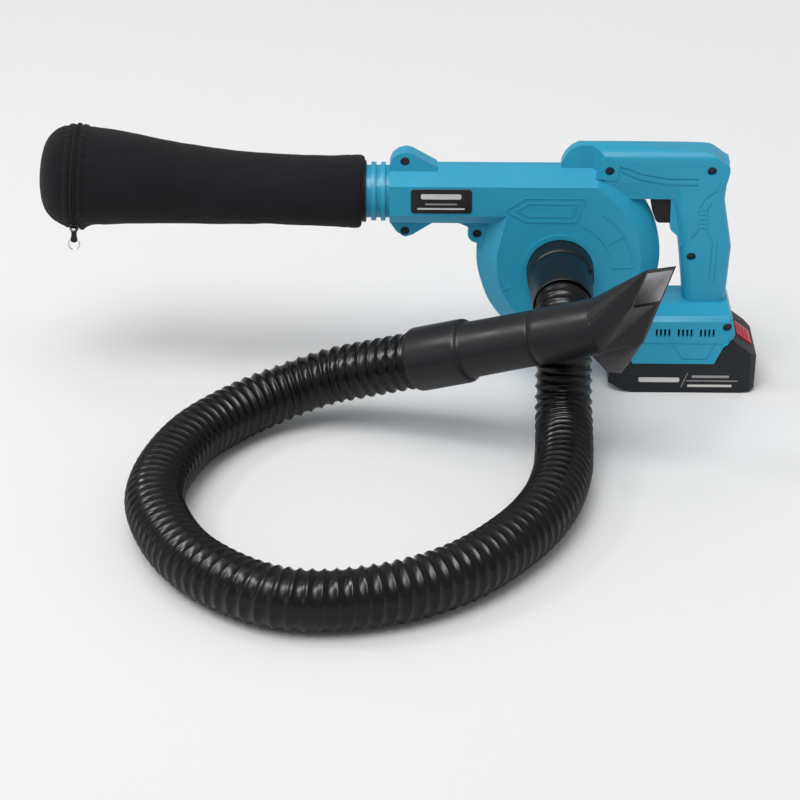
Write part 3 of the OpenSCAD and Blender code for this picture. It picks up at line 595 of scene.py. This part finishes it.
def make_zip_band():
    """The zip's tape with two rows of coil teeth and a narrow valley between them."""
    sides = 640
    profile = [(h + ZIP_AT, r + ZIP_R) for h, r in (
        (-3, -2.3), (-3, -0.5), (-2.4, -0.1), (-1.7, -0.1), (-1.3, 0.8), (-0.8, 1.2), (-0.3, 0.8),
        (0, 0.1), (0.3, 0.8),
        (0.8, 1.2), (1.3, 0.8), (1.7, -0.1), (2.4, -0.1), (3, -0.5), (3, -2.3))]
    points = []
    for height, radius in profile:
        for k in range(sides):
            angle = 2 * math.pi * k / sides
            tooth = math.cos(160 * angle + (math.pi if height > ZIP_AT else 0))
            r = radius + (0.3 * tooth if radius > ZIP_R + 0.5 else 0)
            points.append(bag_place @ Vector((r * math.cos(angle), r * math.sin(angle), height)) * MM)
    band = make_object("zip_band", points, loop_faces(len(profile), sides), zip_cloth)
    finish_piece(band, "bag", ["zip_tape"])


zip_place = bag_place @ turn(215, "Z") @ Matrix.Translation((ZIP_R, 0, ZIP_AT))
tab_place = zip_place @ Matrix.Translation((2.6, 0, 0)) @ turn(-35, "Z")


def make_pull():
    bridge = prism("slider_bridge", zip_place @ Matrix.Translation((0, 0, -1.5)),
                   [(3.6, -4.2), (4.9, -3.4), (5.3, -1), (5.3, 1), (4.9, 3.4), (3.6, 4.2), (3.6, 3),
                    (4.3, 2.4), (4.5, 0.8), (4.5, -0.8), (4.3, -2.4), (3.6, -3)], 0, 3, bright_metal)
    bevel(bridge, 0.0003, 2, 30)
    finish_piece(bridge, "slider")
    half = [(-1.4, 2.0), (-0.9, 3.1), (1.2, 3.2), (3.4, 2.3), (6, 2.2), (9.4, 2.9), (11.2, 2.9),
            (12.4, 2.1), (12.8, 0.8)]
    outline = [(x, -y) for x, y in half] + [(x, y) for x, y in half[::-1]]
    tab = prism("pull_tab", tab_place @ turn(90, "X"), outline, -0.8, 0.8, black_plastic)
    bevel(tab, 0.0004, 2, 30)
    finish_piece(tab, "pull_tab", ["zip_pull_tab"])
    points = []
    for i in range(64):
        a = 2 * math.pi * i / 64
        for k in range(12):
            b = 2 * math.pi * k / 12
            r = 4.7 + 0.62 * math.cos(b)
            local = Vector((10.2 + 4.3 + r * math.cos(a), 0.62 * math.sin(b), r * math.sin(a)))
            points.append(tab_place @ local * MM)
    ring = make_object("pull_ring", points, loop_faces(64, 12), bright_metal)
    finish_piece(ring, "pull_ring", ["zip_ring"])


make_bag()
make_zip_band()
make_pull()

# ---------------------------------------------------------------- label and printed rules


def rounded(width, height, radius, corners=6):
    """Outline of a rounded rectangle about the origin."""
    points = []
    for quarter, (sx, sy) in enumerate(((1, 1), (-1, 1), (-1, -1), (1, -1))):
        for k in range(corners + 1):
            a = math.pi / 2 * (quarter + k / corners)
            points.append((sx * (width / 2 - radius) + radius * math.cos(a),
                           sy * (height / 2 - radius) + radius * math.sin(a)))
    return points


def facing(x, y, z):
    """Frame on a face that looks towards -Y: local X to the right, local Y up, local Z out of the face."""
    return Matrix.Translation((x, y, z)) @ turn(90, "X")


def rule(name, place, width, height, body, material=None):
    outline = rounded(width, height, min(width, height) * 0.3, 3)
    bar = prism(name, place, outline, -0.05, 0.08, material or print_white)
    finish_piece(bar, body)


def make_label():
    plate = prism("label", facing(-213.2, -24, 169.3), rounded(51.5, 21.6, 3), -0.1, 0.9, label_plastic)
    bevel(plate, 0.00035, 3, 30)
    finish_piece(plate, "blower", ["label_plate"])
    rule("label_bar_1", facing(-213.4, -24.9, 173.6), 34, 4.6, "blower")
    rule("label_bar_2", facing(-213.4, -24.9, 166.9), 27, 1.3, "blower", print_grey)
    rule("label_bar_3", facing(-213.4, -24.9, 162.8), 40, 1.5, "blower")
    rule("pack_bar_1", facing(-25.5, -37.5, 12), 35, 4.4, "battery")
    slash = facing(-3.8, -37.5, 11.8) @ turn(-22, "Z")
    rule("pack_bar_2", slash, 0.6, 14.5, "battery", print_grey)
    rule("pack_bar_3", facing(18.5, -37.5, 15.2), 32, 2.2, "battery", print_grey)
    rule("pack_bar_4", facing(20, -37.5, 11.2), 44, 0.45, "battery")
    rule("pack_bar_5", facing(18, -37.5, 6.6), 38, 2.2, "battery")


make_label()

# ---------------------------------------------------------------- CAD nodes that keep their shape

SHARP_ONLY = ("motor_wires", "trigger_spring", "latch_spring", "zip_ring", "hose", "label_plate")
for name, node in NODES.items():
    if node.hide_render or name in SHARP_ONLY:
        continue
    weld = node.modifiers.new("weld", "WELD")
    weld.merge_threshold = 0.00001
    bevel(node, 0.0024 if "casing" in name else 0.0005, 3 if "casing" in name else 2, 28)

# ---------------------------------------------------------------- studio

floor_shader = Shader("floor", 0.9, Specular_IOR_Level=0.1)
floor_shader.colour(floor_shader.mix(floor_shader.ramp(floor_shader.noise(0.8), 0, 1),
                                     (0.86, 0.86, 0.862), (0.868, 0.868, 0.87)))
bpy.ops.mesh.primitive_plane_add(size=14)
floor = bpy.context.object
floor.name = "floor"
floor.data.materials.append(floor_shader.material)

world = bpy.data.worlds.new("world")
world.use_nodes = True
world.node_tree.nodes["Background"].inputs["Color"].default_value = (1, 1, 1, 1)
world.node_tree.nodes["Background"].inputs["Strength"].default_value = 0.44
scene.world = world
scene.view_settings.view_transform = "Standard"


def softbox(name, place, target, size, power, glossy_only=False):
    light = bpy.data.lights.new(name, "AREA")
    light.shape = "RECTANGLE"
    light.size, light.size_y = size
    light.energy = power
    made = bpy.data.objects.new(name, light)
    made.location = place
    made.visible_diffuse = not glossy_only
    made.rotation_euler = (Vector(target) - Vector(place)).to_track_quat("-Z", "Y").to_euler()
    scene.collection.objects.link(made)


sun = bpy.data.lights.new("sun", "SUN")
sun.energy = 1.5
sun.angle = math.radians(38)
sun_object = bpy.data.objects.new("sun", sun)
sun_object.rotation_euler = Vector((0.2, 0.45, -0.9)).to_track_quat("-Z", "Y").to_euler()
scene.collection.objects.link(sun_object)

middle = (-0.2, -0.15, 0.05)
softbox("strip", (-0.25, -0.2, 2.1), middle, (2.4, 0.3), 5)
softbox("strip glint", (-0.6, -0.95, 1.7), middle, (1.7, 0.4), 30, True)
softbox("left glint", (-1.6, -0.3, 1.43), (-0.1, -0.2, 0.1), (0.4, 0.25), 7, True)
softbox("left low", (-2.1, -1.1, 0.6), (-0.2, -0.15, 0.1), (0.6, 0.6), 1.6)
softbox("left high", (-1.6, -0.3, 1.44), (-0.1, -0.2, 0.1), (0.45, 0.3), 4)
